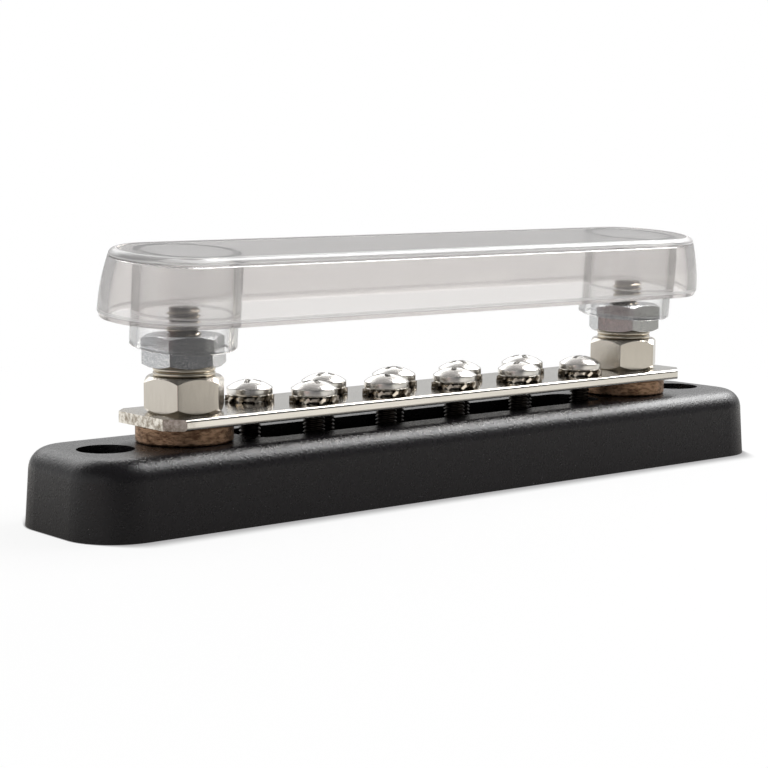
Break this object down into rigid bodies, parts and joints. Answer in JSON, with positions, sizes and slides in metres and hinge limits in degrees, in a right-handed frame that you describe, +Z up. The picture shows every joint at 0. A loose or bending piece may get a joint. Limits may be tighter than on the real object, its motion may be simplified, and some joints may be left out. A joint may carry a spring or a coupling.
{
  "type": "busbar with cover",
  "caption": "Black busbar with a plated bar, staggered terminal screws, stud nuts on copper spacers and a clear cover standing on the nuts.",
  "frame": {"origin": "middle of the base's underside", "axes": "+X along the base from the left stud to the right stud, +Y to the back, +Z up"},
  "size_m": [0.165, 0.0308, 0.0478],
  "materials": {
    "base": "fine grained black moulding",
    "bar": "nickel plate with a soft mirror",
    "cover": "clear moulding with a slight haze",
    "stud": "bright steel",
    "spacer": "rough copper",
    "nut": "zinc plate",
    "spring_washer": "bright plate",
    "screw": "polished nickel",
    "lock_washer": "bright plate"
  },
  "bodies": {
    "frame": {"base": "base", "busbar": "bar", "left_stud": "stud", "left_spacer": "spacer", "left_clamp_nut": "nut", "right_stud": "stud", "right_spacer": "spacer", "right_clamp_nut": "nut"},
    "cover": {"cover": "cover"},
    "left_spring_washer": {"left_spring_washer": "spring_washer"},
    "left_terminal_nut": {"left_terminal_nut": "nut"},
    "right_spring_washer": {"right_spring_washer": "spring_washer"},
    "right_terminal_nut": {"right_terminal_nut": "nut"},
    "lock_washer_1": {"lock_washer_1": "lock_washer"},
    "terminal_screw_1": {"terminal_screw_1": "screw"},
    "lock_washer_2": {"lock_washer_2": "lock_washer"},
    "terminal_screw_2": {"terminal_screw_2": "screw"},
    "lock_washer_3": {"lock_washer_3": "lock_washer"},
    "terminal_screw_3": {"terminal_screw_3": "screw"},
    "lock_washer_4": {"lock_washer_4": "lock_washer"},
    "terminal_screw_4": {"terminal_screw_4": "screw"},
    "lock_washer_5": {"lock_washer_5": "lock_washer"},
    "terminal_screw_5": {"terminal_screw_5": "screw"},
    "lock_washer_6": {"lock_washer_6": "lock_washer"},
    "terminal_screw_6": {"terminal_screw_6": "screw"},
    "lock_washer_7": {"lock_washer_7": "lock_washer"},
    "terminal_screw_7": {"terminal_screw_7": "screw"},
    "lock_washer_8": {"lock_washer_8": "lock_washer"},
    "terminal_screw_8": {"terminal_screw_8": "screw"},
    "lock_washer_9": {"lock_washer_9": "lock_washer"},
    "terminal_screw_9": {"terminal_screw_9": "screw"},
    "lock_washer_10": {"lock_washer_10": "lock_washer"},
    "terminal_screw_10": {"terminal_screw_10": "screw"}
  },
  "joints": [
    {"name": "cover_lift", "type": "slide", "parent": "frame", "child": "cover", "axis": [0, 0, 1], "range_m": [0, 0.03]},
    {"name": "left_nut_rise", "type": "slide", "parent": "frame", "child": "left_spring_washer", "axis": [0, 0, 1], "range_m": [0, 0.003]},
    {"name": "left_nut_turn", "type": "hinge", "parent": "left_spring_washer", "child": "left_terminal_nut", "pos_m": [-0.0554, 0, 0.029], "axis": [0, 0, 1], "range_deg": [0, 1080]},
    {"name": "right_nut_rise", "type": "slide", "parent": "frame", "child": "right_spring_washer", "axis": [0, 0, 1], "range_m": [0, 0.003]},
    {"name": "right_nut_turn", "type": "hinge", "parent": "right_spring_washer", "child": "right_terminal_nut", "pos_m": [0.0554, 0, 0.029], "axis": [0, 0, 1], "range_deg": [0, 1080]},
    {"name": "screw_1_rise", "type": "slide", "parent": "frame", "child": "lock_washer_1", "axis": [0, 0, 1], "range_m": [0, 0.0056]},
    {"name": "screw_1_turn", "type": "hinge", "parent": "lock_washer_1", "child": "terminal_screw_1", "pos_m": [-0.03848, 0.004, 0.0198], "axis": [0, 0, 1], "range_deg": [0, 2880]},
    {"name": "screw_2_rise", "type": "slide", "parent": "frame", "child": "lock_washer_2", "axis": [0, 0, 1], "range_m": [0, 0.0056]},
    {"name": "screw_2_turn", "type": "hinge", "parent": "lock_washer_2", "child": "terminal_screw_2", "pos_m": [-0.02993, -0.004, 0.0198], "axis": [0, 0, 1], "range_deg": [0, 2880]},
    {"name": "screw_3_rise", "type": "slide", "parent": "frame", "child": "lock_washer_3", "axis": [0, 0, 1], "range_m": [0, 0.0056]},
    {"name": "screw_3_turn", "type": "hinge", "parent": "lock_washer_3", "child": "terminal_screw_3", "pos_m": [-0.02138, 0.004, 0.0198], "axis": [0, 0, 1], "range_deg": [0, 2880]},
    {"name": "screw_4_rise", "type": "slide", "parent": "frame", "child": "lock_washer_4", "axis": [0, 0, 1], "range_m": [0, 0.0056]},
    {"name": "screw_4_turn", "type": "hinge", "parent": "lock_washer_4", "child": "terminal_screw_4", "pos_m": [-0.01282, -0.004, 0.0198], "axis": [0, 0, 1], "range_deg": [0, 2880]},
    {"name": "screw_5_rise", "type": "slide", "parent": "frame", "child": "lock_washer_5", "axis": [0, 0, 1], "range_m": [0, 0.0056]},
    {"name": "screw_5_turn", "type": "hinge", "parent": "lock_washer_5", "child": "terminal_screw_5", "pos_m": [-0.00428, 0.004, 0.0198], "axis": [0, 0, 1], "range_deg": [0, 2880]},
    {"name": "screw_6_rise", "type": "slide", "parent": "frame", "child": "lock_washer_6", "axis": [0, 0, 1], "range_m": [0, 0.0056]},
    {"name": "screw_6_turn", "type": "hinge", "parent": "lock_washer_6", "child": "terminal_screw_6", "pos_m": [0.00428, -0.004, 0.0198], "axis": [0, 0, 1], "range_deg": [0, 2880]},
    {"name": "screw_7_rise", "type": "slide", "parent": "frame", "child": "lock_washer_7", "axis": [0, 0, 1], "range_m": [0, 0.0056]},
    {"name": "screw_7_turn", "type": "hinge", "parent": "lock_washer_7", "child": "terminal_screw_7", "pos_m": [0.01282, 0.004, 0.0198], "axis": [0, 0, 1], "range_deg": [0, 2880]},
    {"name": "screw_8_rise", "type": "slide", "parent": "frame", "child": "lock_washer_8", "axis": [0, 0, 1], "range_m": [0, 0.0056]},
    {"name": "screw_8_turn", "type": "hinge", "parent": "lock_washer_8", "child": "terminal_screw_8", "pos_m": [0.02138, -0.004, 0.0198], "axis": [0, 0, 1], "range_deg": [0, 2880]},
    {"name": "screw_9_rise", "type": "slide", "parent": "frame", "child": "lock_washer_9", "axis": [0, 0, 1], "range_m": [0, 0.0056]},
    {"name": "screw_9_turn", "type": "hinge", "parent": "lock_washer_9", "child": "terminal_screw_9", "pos_m": [0.02993, 0.004, 0.0198], "axis": [0, 0, 1], "range_deg": [0, 2880]},
    {"name": "screw_10_rise", "type": "slide", "parent": "frame", "child": "lock_washer_10", "axis": [0, 0, 1], "range_m": [0, 0.0056]},
    {"name": "screw_10_turn", "type": "hinge", "parent": "lock_washer_10", "child": "terminal_screw_10", "pos_m": [0.03848, -0.004, 0.0198], "axis": [0, 0, 1], "range_deg": [0, 2880]}
  ],
  "couplings": [
    {"joint": "left_nut_turn", "follows": "left_nut_rise", "rad_per_m": 6282.6},
    {"joint": "right_nut_turn", "follows": "right_nut_rise", "rad_per_m": 6282.6},
    {"joint": "screw_1_turn", "follows": "screw_1_rise", "rad_per_m": 8975.1},
    {"joint": "screw_2_turn", "follows": "screw_2_rise", "rad_per_m": 8975.1},
    {"joint": "screw_3_turn", "follows": "screw_3_rise", "rad_per_m": 8975.1},
    {"joint": "screw_4_turn", "follows": "screw_4_rise", "rad_per_m": 8975.1},
    {"joint": "screw_5_turn", "follows": "screw_5_rise", "rad_per_m": 8975.1},
    {"joint": "screw_6_turn", "follows": "screw_6_rise", "rad_per_m": 8975.1},
    {"joint": "screw_7_turn", "follows": "screw_7_rise", "rad_per_m": 8975.1},
    {"joint": "screw_8_turn", "follows": "screw_8_rise", "rad_per_m": 8975.1},
    {"joint": "screw_9_turn", "follows": "screw_9_rise", "rad_per_m": 8975.1},
    {"joint": "screw_10_turn", "follows": "screw_10_rise", "rad_per_m": 8975.1}
  ]
}
